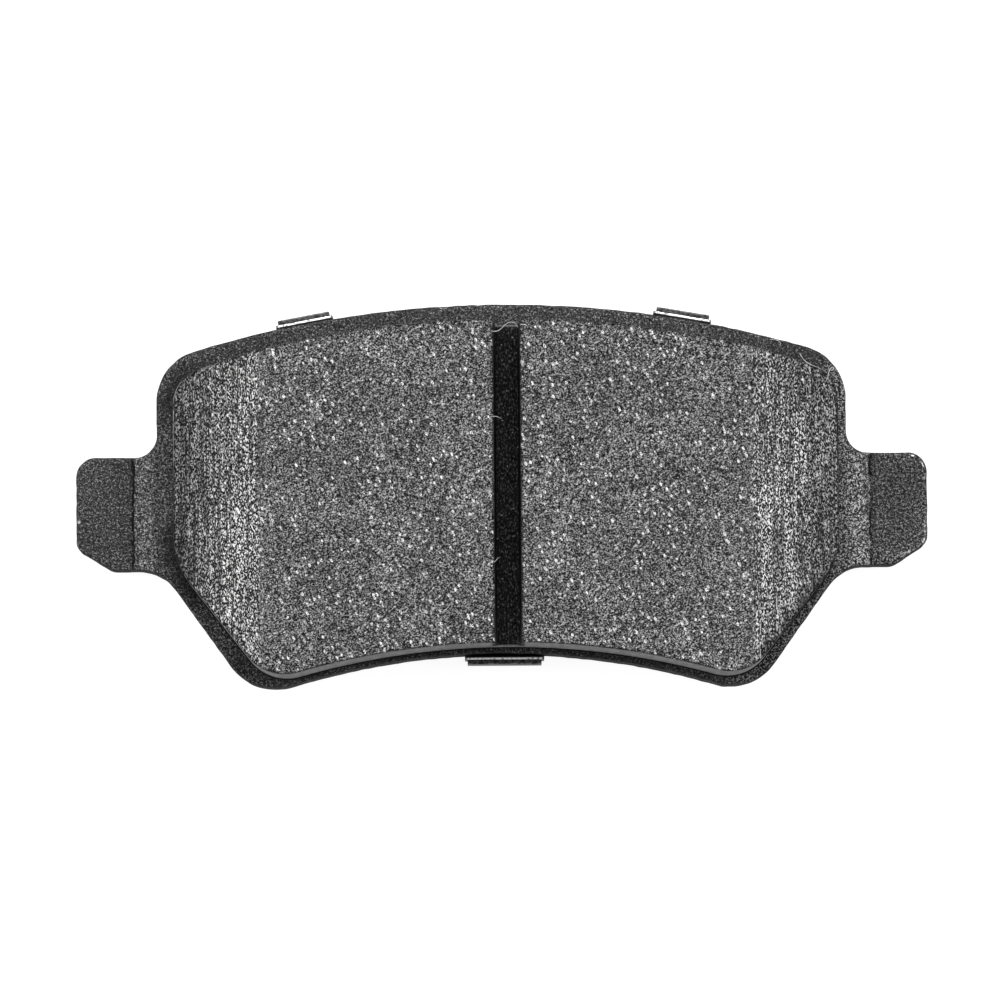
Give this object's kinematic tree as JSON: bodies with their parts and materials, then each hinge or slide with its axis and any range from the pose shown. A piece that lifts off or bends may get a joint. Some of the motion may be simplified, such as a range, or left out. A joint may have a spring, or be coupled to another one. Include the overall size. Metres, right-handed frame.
{
  "type": "disc brake pad",
  "caption": "Disc brake pad with an eared steel backing plate, a slotted and chamfered friction lining and a laminated noise shim.",
  "frame": {"origin": "under the middle of the pad's box, on the outer face of the noise shim", "axes": "+X along the pad from ear to ear, +Y towards the outer convex edge, +Z out of the friction face"},
  "size_m": [0.0954, 0.043, 0.0155],
  "materials": {
    "powder_coated_steel": "satin",
    "bonding_adhesive": "matte",
    "underlayer_compound": "matte",
    "friction_compound": "matte",
    "shim_glue": "matte",
    "bare_shim_steel": "satin",
    "shim_rubber": "matte",
    "coated_shim_steel": "satin"
  },
  "bodies": {
    "root": {"backing_plate": "powder_coated_steel", "bonding_film": "bonding_adhesive", "underlayer": "underlayer_compound", "friction_block_left": "friction_compound", "friction_block_right": "friction_compound", "shim_adhesive": "shim_glue", "shim_inner_steel": "bare_shim_steel", "shim_damping_layer": "shim_rubber", "shim_outer_steel": "coated_shim_steel"}
  },
  "joints": []
}
